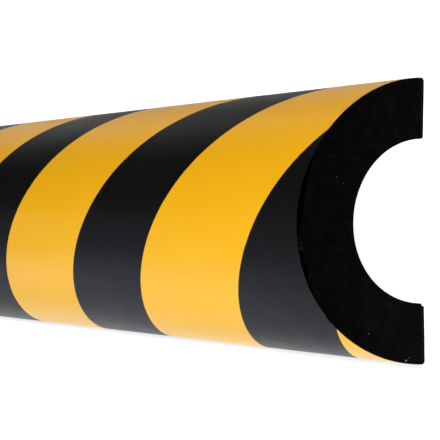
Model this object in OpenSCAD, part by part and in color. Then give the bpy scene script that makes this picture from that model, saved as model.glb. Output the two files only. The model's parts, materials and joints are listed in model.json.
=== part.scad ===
// Half-round foam strip that clips over a pipe and softens knocks against it.
// X runs along the strip and is the axis of the pipe. +Z points to the crown, and the strip
// rests on its two flat rims at z = 0. The end at +X is the one with the stripes' starting point.

/* [Foam section] */
// Diameter of the pipe that the strip clips over
pipe_d = 50; // [25:1:120]
// Thickness of the foam wall
wall_t = 18.5; // [8:0.5:40]
// Length of the strip, cut square at both ends
strip_l = 1000; // [300:10:2000]
// Radius on the outer edge of each rim
rim_outer_r = 1.2; // [0.4:0.1:3]
// Radius on the inner edge of each rim
rim_inner_r = 0.7; // [0.3:0.1:3]

/* [Warning stripes] */
// Angle between a stripe and the length of the strip, with the skin laid flat
stripe_angle = 45; // [30:1:60]
// Width of a yellow stripe, square to its edges
yellow_w = 53.5; // [20:0.5:100]
// Width of the black skin between two yellow stripes, square to their edges
black_w = 43.5; // [20:0.5:100]
// Distance along the crown from the +X end to the first stripe that crosses it whole
first_stripe = 28.5; // [0:0.5:100]
// Thickness of the printed colour
print_t = 0.2; // [0.1:0.05:0.5]

/* [Hidden] */

$fn = 180;
r_in = pipe_d / 2;
r_out = r_in + wall_t;
end_x = strip_l / 2;

// Length by which a cutting shape runs past what it cuts
cut_over = 1;

// Height above the rims at which the rounded outer edge of a rim runs into the skin
rim_top_z = rim_outer_r * r_out / (r_out - rim_outer_r);

// A stripe is straight on the flat skin, so on the half round each edge of it is a helix, which
// moves along X by a fixed length for each degree that it turns from the crown towards +Y
x_per_degree = r_out * PI / 180 / tan(stripe_angle);
yellow_l = yellow_w / sin(stripe_angle);
pitch_l = (yellow_w + black_w) / sin(stripe_angle);
// Furthest that an edge of a stripe moves along X from the crown to where the print ends
print_turn = acos(rim_top_z / r_out);
stripe_reach = x_per_degree * print_turn;
// Number of the last stripe towards each end, counted from 0 at the first one that is whole
last_before = ceil((first_stripe + yellow_l + stripe_reach) / pitch_l) - 1;
last_after = ceil((strip_l - first_stripe + stripe_reach) / pitch_l) - 1;
// Straight steps in which an edge of a stripe goes round from rim to rim
edge_steps = 24;

// Draws its children on the +Y side of the section and mirrored on the other
module on_both_sides()
    for (side = [0, 1]) mirror([side, 0]) children();

// Centre of the rounding on a rim's edge, which touches the flat rim and the skin of radius r.
// The wall lies inside the outer skin, at wall_side -1, and outside the bore, at wall_side 1.
function rim_centre(r, rounding, wall_side) =
    [sqrt(pow(r + wall_side * rounding, 2) - pow(rounding, 2)), rounding];

// Sharp corner that the rounding takes away, between the flat rim and the skin
module rim_corner(r, rounding, wall_side) {
    centre = rim_centre(r, rounding, wall_side);
    past_skin = (r - wall_side * cut_over) / norm(centre) * centre;
    polygon([centre, [centre.x, -cut_over], [past_skin.x, -cut_over], past_skin]);
}

module rim_rounding(r, rounding, wall_side)
    translate(rim_centre(r, rounding, wall_side)) circle(rounding, $fn = 48);

// Section of the foam, y across and z up: half a ring with rounded edges along its rims
module foam_section() {
    difference() {
        circle(r_out);
        circle(r_in);
        translate([-r_out - cut_over, -r_out - cut_over])
            square([2 * (r_out + cut_over), r_out + cut_over]);
        on_both_sides() {
            rim_corner(r_out, rim_outer_r, -1);
            rim_corner(r_in, rim_inner_r, 1);
        }
    }
    on_both_sides() {
        rim_rounding(r_out, rim_outer_r, -1);
        rim_rounding(r_in, rim_inner_r, 1);
    }
}

// Section of the print: a thin band round the skin, from one rounded rim edge to the other
module print_section()
    difference() {
        circle(r_out + print_t);
        circle(r_out);
        translate([-r_out - cut_over, -r_out - cut_over])
            square([2 * (r_out + cut_over), r_out + cut_over + rim_top_z]);
    }

// Carries a section along the whole strip
module along_strip()
    translate([-end_x, 0, 0]) rotate([90, 0, 90]) linear_extrude(strip_l) children();

// Block that holds one stripe, from below the skin to above the print. It is carried round the
// pipe axis by its four corners, with its front edge at front_x where it crosses the crown.
module stripe_block(front_x) {
    block_turn = 92;
    below = r_out - cut_over;
    above = r_out + print_t + cut_over;
    corners = [[-yellow_l, below], [-yellow_l, above], [0, above], [0, below]];
    turns = [for (i = [0:edge_steps]) block_turn * (2 * i / edge_steps - 1)];
    points = [for (turn = turns, corner = corners)
        [front_x + corner[0] + x_per_degree * turn, corner[1] * sin(turn), corner[1] * cos(turn)]];
    sides = [for (i = [0:edge_steps - 1], k = [0:3])
        let (a = 4 * i + k, b = 4 * i + (k + 1) % 4)
        each [[a, b + 4, b], [a, a + 4, b + 4]]];
    last = 4 * edge_steps;
    polyhedron(points, concat(sides, [[0, 1, 2, 3], [last + 3, last + 2, last + 1, last]]));
}

module foam_strip()
    color("#161616") along_strip() foam_section();

module yellow_stripes()
    color("#f8b62b")
        for (n = [-last_before:last_after])
            intersection() {
                along_strip() print_section();
                stripe_block(end_x - first_stripe - n * pitch_l);
            }

foam_strip();
yellow_stripes();
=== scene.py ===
import json
from math import acos, cos, pi, radians, sin, sqrt, tan

import bmesh
import bpy
import numpy as np
from mathutils import Matrix, Vector

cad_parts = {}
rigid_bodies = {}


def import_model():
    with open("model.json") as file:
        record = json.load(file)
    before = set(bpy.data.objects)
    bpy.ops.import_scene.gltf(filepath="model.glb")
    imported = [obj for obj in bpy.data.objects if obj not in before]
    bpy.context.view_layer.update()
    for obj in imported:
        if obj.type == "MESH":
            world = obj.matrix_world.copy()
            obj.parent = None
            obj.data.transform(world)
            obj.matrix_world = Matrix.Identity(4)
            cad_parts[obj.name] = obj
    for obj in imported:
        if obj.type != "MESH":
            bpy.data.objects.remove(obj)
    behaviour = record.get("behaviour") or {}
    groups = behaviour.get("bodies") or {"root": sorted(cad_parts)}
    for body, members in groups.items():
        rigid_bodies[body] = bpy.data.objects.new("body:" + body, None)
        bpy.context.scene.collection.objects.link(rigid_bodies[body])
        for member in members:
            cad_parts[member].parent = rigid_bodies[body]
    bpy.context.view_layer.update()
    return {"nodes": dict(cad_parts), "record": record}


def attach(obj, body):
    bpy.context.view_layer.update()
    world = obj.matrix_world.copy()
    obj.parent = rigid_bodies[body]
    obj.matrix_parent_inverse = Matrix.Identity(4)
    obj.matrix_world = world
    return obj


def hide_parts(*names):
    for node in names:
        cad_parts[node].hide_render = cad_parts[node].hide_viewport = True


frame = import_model()
mm = 0.001


# Helpers for meshes


meshing = {
    "samePlace": 0.001 * mm,    # distance within which two points count as one
    "nothing": 0.0001 * mm,     # length at which an edge has shrunk to nothing
    "sharpAngle": 38,           # degrees between two faces from which their edge shades sharp
}


def closedBlock(name, us, vs, ws, place, paints):
    # A block with the three parameters u, v and w, bent into shape by place(u, v, w), which gives
    # points. Each of its six sides is a grid of two parameters with the third held at its end.
    # paints gives the material number of the sides by parameter and end, as in (2, 1) for last w.
    points = []
    quads = []
    numbers = []
    start = 0
    values = (us, vs, ws)
    for held in range(3):
        for end in range(2):
            first, second = values[(held + 1) % 3], values[(held + 2) % 3]
            a, b = np.meshgrid(first, second, indexing="ij")
            sides = [None, None, None]
            sides[(held + 1) % 3] = a.ravel()
            sides[(held + 2) % 3] = b.ravel()
            sides[held] = np.full(a.size, values[held][-end])
            points.append(place(*sides))
            corner = start + np.arange(a.size).reshape(a.shape)
            ring = [corner[:-1, :-1], corner[1:, :-1], corner[1:, 1:], corner[:-1, 1:]]
            ring = ring if end else ring[::-1]
            side = np.stack([c.ravel() for c in ring], 1)
            quads.append(side)
            numbers.append(np.full(len(side), paints.get((held, end), 0)))
            start += a.size
    mesh = bpy.data.meshes.new(name)
    mesh.from_pydata(np.concatenate(points), [], np.concatenate(quads))
    mesh.polygons.foreach_set("material_index", np.concatenate(numbers))
    return shadeSmooth(weld(mesh))


def weld(mesh):
    # Joins the sides where they meet and drops the faces that shrink to nothing there
    work = bmesh.new()
    work.from_mesh(mesh)
    bmesh.ops.remove_doubles(work, verts=work.verts, dist=meshing["samePlace"])
    bmesh.ops.dissolve_degenerate(work, edges=work.edges, dist=meshing["nothing"])
    work.to_mesh(mesh)
    work.free()
    return mesh


def shadeSmooth(mesh):
    mesh.polygons.foreach_set("use_smooth", np.ones(len(mesh.polygons), bool))
    mesh.set_sharp_from_angle(angle=radians(meshing["sharpAngle"]))
    return mesh


def addPiece(mesh, materials, node):
    piece = bpy.data.objects.new(mesh.name, mesh)
    bpy.context.scene.collection.objects.link(piece)
    for material in materials:
        mesh.materials.append(material)
    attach(piece, "root")
    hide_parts(node)
    return piece


def smoothStep(value):
    value = np.clip(value, 0, 1)
    return value * value * (3 - 2 * value)


# The section, from the frame


def readSection():
    # The clamp mount gives the bore and the length, and the foam's own corners the outer skin. The
    # rounded edges of the rims are in neither, so they are stated here.
    seat = next(m for m in frame["record"]["mounts"] if m["name"] == "pipe_seat")
    corners = np.array([v.co for v in frame["nodes"]["foam_strip"].data.vertices])
    return {
        "bore": seat["dims"]["r_mm"] * mm,
        "skin": float(np.hypot(corners[:, 1], corners[:, 2]).max()),
        "end": seat["dims"]["length_mm"] * mm / 2,
        "boreRim": 0.7 * mm,
        "skinRim": 1.2 * mm,
    }


section = readSection()


def rimTurn(radius):
    # Angle from the crown at which a ring of this radius meets the rim: a right angle on the flat
    # and, on a rounded edge, the angle to the rounding's centre plus the one that the three known
    # sides of the triangle axis, centre, crossing give.
    turn = np.full_like(radius, pi / 2)
    for wall, rounding, side in (("skin", "skinRim", -1), ("bore", "boreRim", 1)):
        bend = section[rounding]
        reach = section[wall] + side * bend
        foot = sqrt(reach**2 - bend**2)
        crossing = (radius**2 + reach**2 - bend**2) / (2 * radius * reach)
        rounded = acos(bend / reach) + np.arccos(np.clip(crossing, -1, 1))
        turn = np.where(side * radius < side * foot, rounded, turn)
    return turn


# The cut ends


cutEnds = {
    # how far the knife strayed outwards at +X, in mm, along the skin and along the bore: steady,
    # then the shares of sin, cos, sin of twice and cos of twice the turn from the crown
    "skinEdge": (-0.65, 0.62, 0.88, 1.33, -0.71),
    "boreEdge": (-0.27, 0.13, 0.51, 0.61, 0.27),
    "farShare": 0.5,            # how much of it the other end shows
    # where the skin stands further out or has sprung back: degrees from the crown and how far in mm
    "skinMoved": ((-43.8, -42.9, -41.4, -40.4, -39.2, -35.5, -26, -10, 4, 14, 28),
                  (0, -0.5, -0.45, 0, 0.4, 0.35, 0, 0, -0.3, -0.35, 0)),
    "ripple": 0.045 * mm,       # height of a full wave on top
    # waves: share of that height, radians for a metre of y and of z, start, and what the start
    # gains at +X and loses at -X
    "waves": [(1, 190, 0, 0, 2.1), (0.7, 0, 260, 1.3, 0), (0.5, 510, -440, 0, 0)],
    "skinWaves": [(71, 0), (113, 2)],   # on the skin alone: radians for a radian's turn, and start
    "fade": 8 * mm,             # length over which the unevenness dies out
    "lipRound": 0.09 * mm,      # rounding of the skin's cut edge
    "lip": 0.12 * mm,           # skin left standing beside a split
    # splits between skin and foam: depth, then widths in mm by degrees from the crown
    "splits": [
        (3.6 * mm, (-6, 3.5, 15.5, 27, 35), (0, 1.95, 1.9, 0.35, 0)),
        (2.8 * mm, (-44, -41, -27.5, -26, -24.5, -22.5, -20.5, -17.2, -16.2, -15.2, -13.5, -12, -11),
         (0, 0.35, 0.4, 0.8, 0.4, 0.7, 1.6, 1.9, 1.2, 1.0, 1.35, 1.2, 0)),
    ],
    "ragged": [(0.1, 2.9, 0), (0.07, 6.1, 1)],  # waves in their width: share, radians a degree, start
    "drop": 1 / 12,             # shares of the width over which the foam drops under the skin
    "climb": 1 / 4,             # and climbs on the other side
    "narrow": 0.5,              # mm of width below which a split gets shallower
    "chip": 0.95 * mm,          # reach of the bite out of the rim's inner corner at -Y
    "chipShape": (0.5, 1, 1),   # how much each axis counts towards that reach
    "chipPush": (-0.35, -0.66, 0.66),   # which way the bite goes into the foam
}


def cutFace(turn, radius, side):
    # Distance along X from the flat end at side 1 or -1 to the cut: two slow curves round the
    # skin and the bore, blended between them, and ripples. What belongs to the skin alone dies out
    # with the square or the fourth power of the way from the bore to the skin.
    turned = turn * side
    twice = 2 * turned
    shares = [np.ones_like(turn), np.sin(turned), np.cos(turned), np.sin(twice), np.cos(twice)]
    skinEdge, boreEdge = (
        sum(size * mm * share for size, share in zip(cutEnds[edge], shares))
        for edge in ("skinEdge", "boreEdge")
    )
    through = (radius - section["bore"]) / (section["skin"] - section["bore"])
    slow = boreEdge + through * (skinEdge - boreEdge)
    moved = through**2 * np.interp(np.degrees(turn), *cutEnds["skinMoved"]) * mm
    slow = np.where(side > 0, slow + moved, slow * cutEnds["farShare"])
    y, z = radius * np.sin(turn), radius * np.cos(turn)
    ripple = sum(
        share * np.sin(y * alongY + z * alongZ + start + side * shift)
        for share, alongY, alongZ, start, shift in cutEnds["waves"]
    )
    onSkin = sum(np.sin(turn * often + start) for often, start in cutEnds["skinWaves"])
    return side * (slow + cutEnds["ripple"] * (ripple + through**4 * onSkin))


def splitDepth(turn, radius):
    # A split starts just inside the skin. Across its width the foam drops steeply to the depth
    # and comes back, and where the split is narrow it gets shallower too.
    inside = section["skin"] - radius - cutEnds["lip"]
    angle = np.degrees(turn)
    ragged = 1 + sum(share * np.sin(angle * often + start) for share, often, start in cutEnds["ragged"])
    depth = np.zeros_like(radius)
    for deep, angles, widths in cutEnds["splits"]:
        width = np.interp(angle, angles, widths)
        across = inside / np.maximum(width * mm * ragged, 1e-9)     # never divided by nothing
        sunk = smoothStep(across / cutEnds["drop"]) * smoothStep((1 - across) / cutEnds["climb"])
        depth = np.maximum(depth, deep * sunk * smoothStep(width / cutEnds["narrow"]))
    return depth


def cutShift(turn, radius, x):
    # Distance along X by which a point of the foam moves: with the cut, the more the nearer it is,
    # and on the cut itself for the rounding of the skin's edge and, at +X, the splits
    atEnd = 1 - smoothStep((section["end"] - np.abs(x)) / cutEnds["fade"])
    onCut = np.abs(x) > section["end"] - meshing["samePlace"]
    edge = np.clip(1 - (section["skin"] - radius) / cutEnds["lipRound"], 0, 1)
    sunk = cutEnds["lipRound"] * (1 - np.sqrt(1 - edge**2)) + (x > 0) * splitDepth(turn, radius)
    return atEnd * cutFace(turn, radius, np.sign(x)) - np.sign(x) * onCut * sunk


def chipCorner(points):
    # Everything within reach of the corner is pushed into the foam, the more the nearer it is
    corner = np.array([section["end"], -section["bore"], 0])
    corner[0] += cutFace(np.array([-pi / 2]), np.array([section["bore"]]), 1)[0]
    away = np.linalg.norm((points - corner) * cutEnds["chipShape"], axis=1)
    push = np.clip(cutEnds["chip"] - away, 0, None)
    return points + push[:, None] * np.array(cutEnds["chipPush"])


def markSplits(mesh):
    # Writes onto each point how deep in a split it lies, from 0 on the cut to 1 at the bottom
    points = np.empty(len(mesh.vertices) * 3, np.float32)
    mesh.vertices.foreach_get("co", points)
    x, y, z = points.reshape(-1, 3).T
    deepest = max(split[0] for split in cutEnds["splits"])
    depth = splitDepth(np.arctan2(y, z), np.hypot(y, z)) / deepest * (x > 0)
    mark = mesh.attributes.new("split", "FLOAT", "POINT")
    mark.data.foreach_set("value", depth.astype(np.float32))


# Materials


class Wire:
    # An output of a node. Arithmetic on it adds Math nodes, so that a mask reads as a formula.
    def __init__(self, board, socket):
        self.board = board
        self.socket = socket

    def __add__(self, other):
        return self.board.maths("ADD", self, other)

    def __radd__(self, other):
        return self.board.maths("ADD", other, self)

    def __sub__(self, other):
        return self.board.maths("SUBTRACT", self, other)

    def __rsub__(self, other):
        return self.board.maths("SUBTRACT", other, self)

    def __mul__(self, other):
        return self.board.maths("MULTIPLY", self, other)

    def __rmul__(self, other):
        return self.board.maths("MULTIPLY", other, self)

    def __pow__(self, other):
        return self.board.maths("POWER", self, other)

    def __rpow__(self, other):
        return self.board.maths("POWER", other, self)

    def __abs__(self):
        return self.board.maths("ABSOLUTE", self, 0.0)


class Board:
    # The node tree of one material or world
    def __init__(self, owner):
        owner.use_nodes = True
        self.tree = owner.node_tree
        self.tree.nodes.clear()

    def add(self, kind, settings, values, output=0):
        node = self.tree.nodes.new(kind)
        for name, setting in settings.items():
            setattr(node, name, setting)
        for socket, value in values.items():
            if isinstance(value, Wire):
                self.tree.links.new(value.socket, node.inputs[socket])
            else:
                node.inputs[socket].default_value = value
        return Wire(self, node.outputs[output]) if len(node.outputs) else None

    def maths(self, operation, first, second):
        return self.add("ShaderNodeMath", {"operation": operation}, {0: first, 1: second})

    def blend(self, share, first, second):
        return self.add("ShaderNodeMix", {"data_type": "RGBA"}, {0: share, 6: first, 7: second}, 2)

    def place(self):
        return self.add("ShaderNodeTexCoord", {}, {}, "Object")

    def axes(self, place):
        node = self.add("ShaderNodeSeparateXYZ", {}, {0: place}).socket.node
        return [Wire(self, output) for output in node.outputs]

    def noise(self, place, size, detail, rough=0.5):
        # Cloudy pattern whose patches are about size across
        values = {"Vector": place, "Scale": 1 / size, "Detail": detail, "Roughness": rough}
        return self.add("ShaderNodeTexNoise", {}, values)

    def cells(self, place, size):
        # Distance from the middle of the nearest of many uneven cells, as a share of their size
        return self.add("ShaderNodeTexVoronoi", {"feature": "F1"}, {"Vector": place, "Scale": 1 / size})

    def soft(self, value, start, end):
        # Goes smoothly from 0 where the value is start to 1 where it is end
        settings = {"interpolation_type": "SMOOTHSTEP"}
        return self.add("ShaderNodeMapRange", settings, {0: value, 1: start, 2: end, 3: 0.0, 4: 1.0})

    def bump(self, height, depth, under=None):
        values = {"Height": height, "Distance": depth, "Strength": 1.0}
        if under is not None:
            values["Normal"] = under
        return self.add("ShaderNodeBump", {}, values)

    def surface(self, values):
        shader = self.add("ShaderNodeBsdfPrincipled", {}, values)
        self.add("ShaderNodeOutputMaterial", {}, {"Surface": shader})


def colour(red, green, blue):
    return (red, green, blue, 1.0)


def grey(shade):
    return colour(shade, shade, shade)


def newMaterial(name):
    material = bpy.data.materials.new(name)
    return material, Board(material)


blackSkin = {
    "dark": colour(0.0012, 0.0010, 0.0011),
    "light": colour(0.0024, 0.0019, 0.0020),
    "smudgeSize": 14 * mm,
    "mark": grey(0.018),        # faint dots
    "markShare": 0.5,           # how much of their colour shows
    "markSpacing": 16 * mm,
    "markSize": 0.05,           # as a share of the spacing
    "roughLow": 0.35,
    "roughHigh": 0.45,
    "ior": 1.5,
    "swellSize": 45 * mm,       # slow swells of the moulded skin
    "swellDepth": 0.15 * mm,
    "grainSize": 0.8 * mm,      # and its fine grain
    "grainDepth": 0.055 * mm,
}

yellowPrint = {
    "dark": colour(0.92, 0.440, 0.0048),
    "light": colour(0.96, 0.464, 0.0088),
    "smudgeSize": 20 * mm,
    "mark": colour(0.62, 0.34, 0.03),
    "markShare": 0.35,
    "markSpacing": 19 * mm,
    "markSize": 0.045,
    "roughLow": 0.285,
    "roughHigh": 0.31,
    "ior": 1.55,
    "swellSize": 45 * mm,
    "swellDepth": 0.12 * mm,
    "grainSize": 0.8 * mm,
    "grainDepth": 0.028 * mm,
}


def makeSkin(name, settings):
    # Smudges move the colour and the roughness together, and a dot shows wherever the middle of a
    # cell comes close to the surface. The skin swells slowly, with a fine grain on top.
    material, board = newMaterial(name)
    place = board.place()
    smudge = board.noise(place, settings["smudgeSize"], detail=4.0, rough=0.6)
    shade = board.blend(smudge, settings["dark"], settings["light"])
    cells = board.cells(place, settings["markSpacing"])
    mark = board.soft(cells, settings["markSize"], 0.0) * settings["markShare"]
    swell = board.noise(place, settings["swellSize"], detail=1.0)
    grain = board.noise(place, settings["grainSize"], detail=2.0, rough=0.6)
    low, high = settings["roughLow"], settings["roughHigh"]
    board.surface({
        "Base Color": board.blend(mark, shade, settings["mark"]),
        "Roughness": low + smudge * (high - low),
        "IOR": settings["ior"],
        "Normal": board.bump(grain, settings["grainDepth"], board.bump(swell, settings["swellDepth"])),
    })
    return material


cutFoam = {
    # darkest and lightest of the cells at the crown, at the rims and at the other end, which only
    # the floor lights, so that end's colours are painted lighter to stand in for the light it lacks
    "crown": (grey(0.0001), colour(0.0025, 0.0021, 0.0020)),
    "rims": (grey(0.0003), colour(0.0042, 0.0036, 0.0029)),
    "farEndPaintedLighter": (grey(0.0020), colour(0.0190, 0.0185, 0.0180)),
    "rimsFrom": (35 * mm, 8 * mm),      # heights between which the rims' colours come in
    "dense": colour(0.0075, 0.0072, 0.0068),    # a line of closer foam just inside the rims
    "denseHeights": (0.15 * mm, 0.5 * mm, 0.75 * mm, 1.2 * mm),  # starts, is full, then fades out
    "densePatchy": 0.7,         # how much of that line comes and goes with the mottling
    "shadow": grey(0.00005),    # inside the splits
    "shadowFrom": (0.02, 0.12),     # shares of the deepest split over which it comes in
    "mottleSize": 3.5 * mm,
    "mottleRange": (0.25, 0.75),
    "mottleShare": 0.7,         # of the mottling and of the single cells in the colour
    "cellShare": 0.35,
    "cellSize": 0.35 * mm,
    "poreSize": 1.1 * mm,
    "cellRise": 0.7,            # shares of the relief's depth that the cells and the pores make
    "poreRise": 0.6,
    "reliefDepth": 0.10 * mm,
    "rough": 0.85,
    "ior": 1.4,
    "sheen": 0.03,              # what is left of the usual gloss
    # bright grains caught in the cut: y, z and radius in millimetres, and their grey
    "specks": [
        (13.5, 30.6, 0.17, 0.11), (11.5, 28.4, 0.17, 0.10), (20.0, 33.3, 0.18, 0.012),
        (19.9, 31.6, 0.18, 0.020), (-33.6, 19.0, 0.22, 0.12), (-42.1, 6.35, 0.36, 0.17),
        (-41.4, 5.4, 0.20, 0.08), (-42.5, 6.6, 0.25, 0.06), (-7.4, 42.0, 0.42, 0.014),
    ],
    "speckCore": 0.5,           # share of a speck's radius that shows in full
}


def makeCutFoam():
    # Open cells and a slow mottling, black towards the crown and browner at the rims, with the
    # closer foam, the splits' shadow and the specks laid over them one after the other
    material, board = newMaterial("cut_foam")
    place = board.place()
    x, y, z = board.axes(place)
    cells = board.cells(place, cutFoam["cellSize"])
    pores = board.noise(place, cutFoam["poreSize"], detail=3.0, rough=0.7)
    mottle = board.noise(place, cutFoam["mottleSize"], detail=4.0, rough=0.65)
    mottle = board.soft(mottle, *cutFoam["mottleRange"])
    grain = cells * cutFoam["cellShare"] + mottle * cutFoam["mottleShare"]
    crown, rims, farEndPaintedLighter = (board.blend(grain, *cutFoam[part]) for part in ("crown", "rims", "farEndPaintedLighter"))
    shade = board.blend(board.soft(z, *cutFoam["rimsFrom"]), crown, rims)
    start, full, still, end = cutFoam["denseHeights"]
    patchy = cutFoam["densePatchy"]
    dense = board.soft(z, start, full) * board.soft(z, end, still) * ((1 - patchy) + mottle * patchy)
    shade = board.blend(dense, shade, cutFoam["dense"])
    split = board.add("ShaderNodeAttribute", {"attribute_name": "split"}, {}, "Fac")
    shade = board.blend(board.soft(split, *cutFoam["shadowFrom"]), shade, cutFoam["shadow"])
    near = board.maths("GREATER_THAN", x, 0.0)
    # the -X end's cut takes painted lighter colours, a painted lift in place of the light that reaches
    # it only from the floor
    shade = board.blend(near, farEndPaintedLighter, shade)
    for speckY, speckZ, radius, speckGrey in cutFoam["specks"]:
        away = ((y - speckY * mm) ** 2 + (z - speckZ * mm) ** 2) ** 0.5
        inside = near * board.soft(away, radius * mm, radius * mm * cutFoam["speckCore"])
        shade = board.blend(inside, shade, grey(speckGrey))
    relief = cells * cutFoam["cellRise"] + pores * cutFoam["poreRise"]
    board.surface({
        "Base Color": shade,
        "Roughness": cutFoam["rough"],
        "IOR": cutFoam["ior"],
        "Specular IOR Level": cutFoam["sheen"],
        "Normal": board.bump(relief, cutFoam["reliefDepth"]),
    })
    return material


mouldedFoam = {
    "dark": colour(0.0034, 0.0034, 0.0036),
    "light": colour(0.0075, 0.0073, 0.0075),
    "cloudSize": 14 * mm,
    "roughLow": 0.55,
    "roughHigh": 0.65,
    "ior": 1.45,
    "grainSize": 0.5 * mm,
    "grainDepth": 0.03 * mm,
}


def makeMouldedFoam():
    # The bore and the rims: plain moulded foam, cloudy in colour and roughness
    material, board = newMaterial("moulded_foam")
    place = board.place()
    cloud = board.noise(place, mouldedFoam["cloudSize"], detail=4.0, rough=0.6)
    grain = board.noise(place, mouldedFoam["grainSize"], detail=2.0, rough=0.6)
    low, high = mouldedFoam["roughLow"], mouldedFoam["roughHigh"]
    board.surface({
        "Base Color": board.blend(cloud, mouldedFoam["dark"], mouldedFoam["light"]),
        "Roughness": low + cloud * (high - low),
        "IOR": mouldedFoam["ior"],
        "Normal": board.bump(grain, mouldedFoam["grainDepth"]),
    })
    return material


# The foam body


foamBody = {
    "aroundSteps": 360,
    # stations through the wall, in mm from the skin and, for the last ones, from the bore
    "underSkin": [0, 0.012, 0.035, 0.065, 0.09, 0.12, 0.17],
    "splitsDown": (0.24, 2.9, 0.11),    # close ones through the splits: first, limit and step
    "restSteps": 18,                    # even ones through the rest
    "overBore": [1.0, 0.8, 0.65, 0.5, 0.37, 0.25, 0.15, 0.08, 0.03, 0.008, 0],
    # stations along the strip: mm from a cut, then even ones that start this far from it
    "nearEnd": [0, 0.25, 0.6, 1.0, 1.5, 2.1, 2.8, 3.6, 4.6, 6, 8, 11, 15],
    "middleFrom": 30 * mm,
    "middleSteps": 12,
}


def wallShares():
    # The stations as shares of the wall, from 0 on the bore to 1 on the skin
    wall = (section["skin"] - section["bore"]) / mm
    upper = [*foamBody["underSkin"], *np.arange(*foamBody["splitsDown"])]
    rest = np.linspace(upper[-1], wall - foamBody["overBore"][0], foamBody["restSteps"] + 1)[1:-1]
    depths = np.concatenate([upper, rest, wall - np.array(foamBody["overBore"])])
    return (1 - depths / wall)[::-1]


def alongStrip():
    near = np.array(foamBody["nearEnd"]) * mm
    middle = section["end"] - foamBody["middleFrom"]
    even = np.linspace(-middle, middle, foamBody["middleSteps"] + 1)
    return np.concatenate([near - section["end"], even, section["end"] - near[::-1]])


def placeFoam(around, through, x):
    # through runs from the bore at 0 to the skin at 1, and around from one rim at -1 to the other
    # at 1: the point lies on its ring, at that share of the ring's turn from crown to rim.
    radius = section["bore"] + through * (section["skin"] - section["bore"])
    turn = around * rimTurn(radius)
    x = x + cutShift(turn, radius, x)
    return chipCorner(np.stack([x, radius * np.sin(turn), radius * np.cos(turn)], 1))


def makeFoamBody():
    around = np.linspace(-1, 1, foamBody["aroundSteps"] + 1)
    cut, mould = 1, 2
    paints = {(2, 0): cut, (2, 1): cut, (1, 0): mould, (0, 0): mould, (0, 1): mould}
    mesh = closedBlock("foam_body", around, wallShares(), alongStrip(), placeFoam, paints)
    markSplits(mesh)
    materials = [makeSkin("black_skin", blackSkin), makeCutFoam(), makeMouldedFoam()]
    piece = addPiece(mesh, materials, "foam_strip")
    print("foam body:", len(mesh.vertices), "points")


# The printed stripes


stripes = {
    "angle": 45,                # degrees from the length, with the skin laid flat
    "yellow": 53.5 * mm,        # width square to the edges
    "black": 43.5 * mm,
    "first": 28.5 * mm,         # along the crown from the +X end to the first whole stripe
    "numbers": range(-1, 8),    # all stripes, counted from that one towards -X
    "proud": 0.05 * mm,         # thickness of the ink above the skin
    "sunk": 0.08 * mm,          # and how far its block goes on below it
    "short": 0.2 * mm,          # bare skin between the ink and a cut
    # how far the edges of some stripes stray: the front and the back, each in mm at the crown and
    # in mm for each radian
    "strays": {-1: (0, 0, 0.7, 0), 0: (-0.2, 0, 0.2, 2.3), 1: (-0.9, 2.4, 1.7, -1.5), 2: (4, -1, 4, 0)},
    "aroundSteps": 240,         # of a stripe that goes all the way round
    "acrossSteps": 4,
    "search": 20001,            # turns tried for where a stripe starts, ends or meets a cut
}


def stripeEdges(number, turn):
    # The back and the front edge of a stripe are helices: x grows evenly with the turn. Each is cut
    # off where it passes a cut end, and the third result is a number that changes there.
    lean = radians(stripes["angle"])
    slope = section["skin"] / tan(lean)
    yellow = stripes["yellow"] / sin(lean)
    pitch = (stripes["yellow"] + stripes["black"]) / sin(lean)
    crown = section["end"] - stripes["first"] - number * pitch
    strays = stripes["strays"].get(number, (0, 0, 0, 0))
    frontStray, frontLean, backStray, backLean = (stray * mm for stray in strays)
    front = crown + frontStray + (slope + frontLean) * turn
    back = crown - yellow + backStray + (slope + backLean) * turn
    radius = np.full_like(turn, section["skin"])
    far, near = (
        side * (section["end"] - stripes["short"]) + cutFace(turn, radius, np.full_like(turn, side))
        for side in (-1, 1)
    )
    return np.maximum(back, far), np.minimum(front, near), (back < far) * 2 + (front > near)


def makeStripe(number):
    def placeInk(turn, layer, across):
        # A point lies between the two edges at its share of the way across
        back, front, stretch = stripeEdges(number, turn)
        radius = section["skin"] - stripes["sunk"] + layer * (stripes["sunk"] + stripes["proud"])
        x = back + across * (front - back)
        return np.stack([x, radius * np.sin(turn), radius * np.cos(turn)], 1)

    # even turns over which the stripe is there, and the ones at which an edge starts to be cut off
    edge = float(rimTurn(np.array([section["skin"]]))[0])
    fine = np.linspace(-edge, edge, stripes["search"])
    back, front, stretch = stripeEdges(number, fine)
    there = np.flatnonzero(front > back)
    corners = there[:-1][np.diff(stretch[there]) != 0]
    steps = max(2, round(stripes["aroundSteps"] * len(there) / len(fine)))
    turns = np.union1d(fine[np.linspace(there[0], there[-1], steps + 1).astype(int)], fine[corners])
    across = np.linspace(0, 1, stripes["acrossSteps"] + 1)
    return closedBlock("stripe", turns, np.array([0.0, 1.0]), across, placeInk, {})


def makeStripes():
    work = bmesh.new()
    for number in stripes["numbers"]:
        stripe = makeStripe(number)
        work.from_mesh(stripe)
        bpy.data.meshes.remove(stripe)
    mesh = bpy.data.meshes.new("stripe_print")
    work.to_mesh(mesh)
    work.free()
    addPiece(shadeSmooth(mesh), [makeSkin("yellow_print", yellowPrint)], "yellow_stripes")
    print("stripes:", len(mesh.vertices), "points")


# Floor, light and camera


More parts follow.
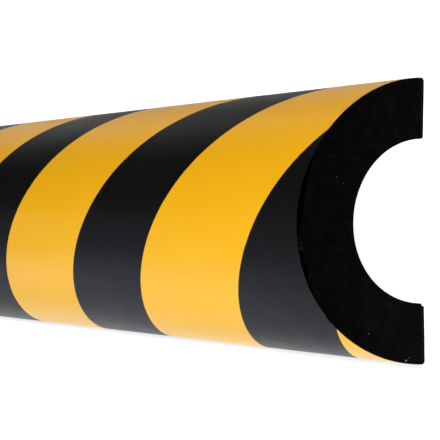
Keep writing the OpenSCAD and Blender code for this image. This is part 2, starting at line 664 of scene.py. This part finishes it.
studio = {
    "sky": 0.008,               # light of the air on the object, where the camera sees white
    "floorReach": 8.0,          # metres to each side
    "floorDrop": 0.02 * mm,     # below the rims
    "glow": 1.0,                # of the floor as the camera sees it
    "paper": 0.3,               # and what it gives back of the light on it
    "shade": 0.54,              # the glow in the narrow shadow along the -Y rim
    "shadePast": 0.5 * mm,      # distance past the skin up to which that shadow is darkest
    "shadeWidth": 3.6 * mm,     # from there to where it ends
    "shadeUnder": 2 * mm,       # width over which it comes in under the rim, from the bore out
    "shadeEnd": 3 * mm,         # length over which it fades at the strip's ends
    # the floor as the object sees it, on the +Y and on the -Y side: towards the +X end, away from
    # the strip and close to it, and then the same two along the rest
    "greys": [(0.06, 0.40, 0.38, 0.55), (0.20, 0.80, 0.58, 0.95)],
    "sideFrom": (20 * mm, -20 * mm),    # y between which one side's greys turn into the other's
    "endFrom": (100 * mm, 350 * mm),    # x between which the end's come in
    "closeFrom": (95 * mm, 45 * mm),    # and distance from the axis for the close ones
}


def makeWorld():
    world = bpy.data.worlds.new("studio")
    bpy.context.scene.world = world
    board = Board(world)
    seen = board.add("ShaderNodeLightPath", {}, {}, "Is Camera Ray")
    board.add("ShaderNodeOutputWorld", {}, {
        "Surface": board.add("ShaderNodeBackground", {}, {
            "Color": board.blend(seen, grey(studio["sky"]), grey(1.0)),
            "Strength": 1.0,
        }),
    })
    print("world: white for the camera")


def floorSeen(board, x, y):
    # What the camera sees: a white glow with a painted shadow along the -Y rim, and what the paper
    # gives back
    darkest = -section["skin"] - studio["shadePast"]
    past = board.soft(y, darkest - studio["shadeWidth"], darkest)
    under = board.soft(y, -section["bore"], -section["bore"] - studio["shadeUnder"])
    along = board.soft(abs(x), section["end"], section["end"] - studio["shadeEnd"])
    glow = board.blend(past * under * along, grey(studio["glow"]), grey(studio["shade"]))
    light = board.add("ShaderNodeEmission", {}, {"Color": glow, "Strength": 1.0})
    paper = board.add("ShaderNodeBsdfDiffuse", {}, {"Color": grey(studio["paper"])})
    return board.add("ShaderNodeAddShader", {}, {0: light, 1: paper})


def floorFelt(board, x, y):
    # What the object sees: greys that change with the place
    atEnd = board.soft(x, *studio["endFrom"])
    close = board.soft(abs(y), *studio["closeFrom"])
    sides = []
    for greys in studio["greys"]:
        endAway, endClose, restAway, restClose = (grey(shade) for shade in greys)
        rest = board.blend(close, restAway, restClose)
        sides.append(board.blend(atEnd, rest, board.blend(close, endAway, endClose)))
    tone = board.blend(board.soft(y, *studio["sideFrom"]), *sides)
    return board.add("ShaderNodeBsdfDiffuse", {}, {"Color": tone})


def makeFloor():
    reach, low = studio["floorReach"], -studio["floorDrop"]
    corners = [(-reach, -reach, low), (reach, -reach, low), (reach, reach, low), (-reach, reach, low)]
    mesh = bpy.data.meshes.new("floor")
    mesh.from_pydata(corners, [], [(0, 1, 2, 3)])
    floor = bpy.data.objects.new("floor", mesh)
    bpy.context.scene.collection.objects.link(floor)
    material, board = newMaterial("floor")
    mesh.materials.append(material)
    seen = board.add("ShaderNodeLightPath", {}, {}, "Is Camera Ray")
    x, y, z = board.axes(board.place())
    both = {0: seen, 1: floorFelt(board, x, y), 2: floorSeen(board, x, y)}
    board.add("ShaderNodeOutputMaterial", {}, {"Surface": board.add("ShaderNodeMixShader", {}, both)})
    print("floor:", 2 * reach, "m wide")


# name, centre, width, height, brightness and tint of each softbox
softboxes = [
    ("overhead", (0.868, 0.0, 1.922), 1.15, 1.15, 7.8, (0.97, 1.0, 1.03)),
    ("plus_y", (1.0, 1.6, 0.5), 0.9, 0.7, 7.7, (1.03, 1.015, 0.955)),
    ("minus_y", (1.0, -1.6, 0.5), 0.9, 0.7, 5.6, (0.90, 0.99, 1.11)),
    ("front_minus_y", (1.602, -1.352, 0.605), 1.15, 1.15, 6.7, (0.83, 0.99, 1.18)),
    ("behind", (-1.5, -0.35, 0.6), 0.9, 0.6, 0.164, (0.895, 0.93, 1.175)),
    ("low_minus_y", (-0.9, -0.6, 0.25), 0.7, 0.35, 0.448, (0.915, 0.94, 1.145)),
]
facing = (0.25, 0.0, 0.02)      # the point that they all face


def makeLights():
    # Area lamps whose faces are as bright as a surface of that grey
    for name, centre, width, height, brightness, tint in softboxes:
        light = bpy.data.lights.new(name, "AREA")
        light.shape = "RECTANGLE"
        light.size = width
        light.size_y = height
        light.energy = brightness * pi * width * height
        light.color = tint
        lamp = bpy.data.objects.new(name, light)
        lamp.location = centre
        lamp.rotation_euler = (Vector(facing) - Vector(centre)).to_track_quat("-Z", "Y").to_euler()
        lamp.visible_camera = False
        bpy.context.scene.collection.objects.link(lamp)
    print("lights:", len(softboxes), "softboxes")


camera = {
    "lens": 173.88,             # mm, as is the width of the frame
    "frameWidth": 36,
    "yaw": 25.962,              # degrees from the strip's axis towards the crown
    "pitch": 0.261,
    "roll": -0.587,
    "distance": 644.75 * mm,
    "aimSide": 61.97 * mm,      # what is in the middle, from the end's centre to the picture's left
    "aimUp": 0.35 * mm,
}


def makeCamera():
    # The picture's up is +Y. The camera looks back along the strip from past its +X end.
    yaw, pitch, roll = (radians(camera[turn]) for turn in ("yaw", "pitch", "roll"))
    back = Vector((cos(yaw) * cos(pitch), sin(pitch), sin(yaw) * cos(pitch)))
    right = Vector((0, 1, 0)).cross(back).normalized()
    up = back.cross(right)
    side = right * cos(roll) + up * sin(roll)
    rise = up * cos(roll) - right * sin(roll)
    middle = Vector((section["end"], 0, 0)) - side * camera["aimSide"] + rise * camera["aimUp"]
    lens = bpy.data.cameras.new("camera")
    lens.lens = camera["lens"]
    lens.sensor_width = camera["frameWidth"]
    eye = bpy.data.objects.new("camera", lens)
    bpy.context.scene.collection.objects.link(eye)
    turned = Matrix((side, rise, back)).transposed().to_4x4()
    eye.matrix_world = Matrix.Translation(middle + back * camera["distance"]) @ turned
    bpy.context.scene.camera = eye
    print("camera:", camera["lens"], "mm lens")


makeFoamBody()
makeStripes()
makeWorld()
makeFloor()
makeLights()
makeCamera()
bpy.context.scene.view_settings.view_transform = "Standard"
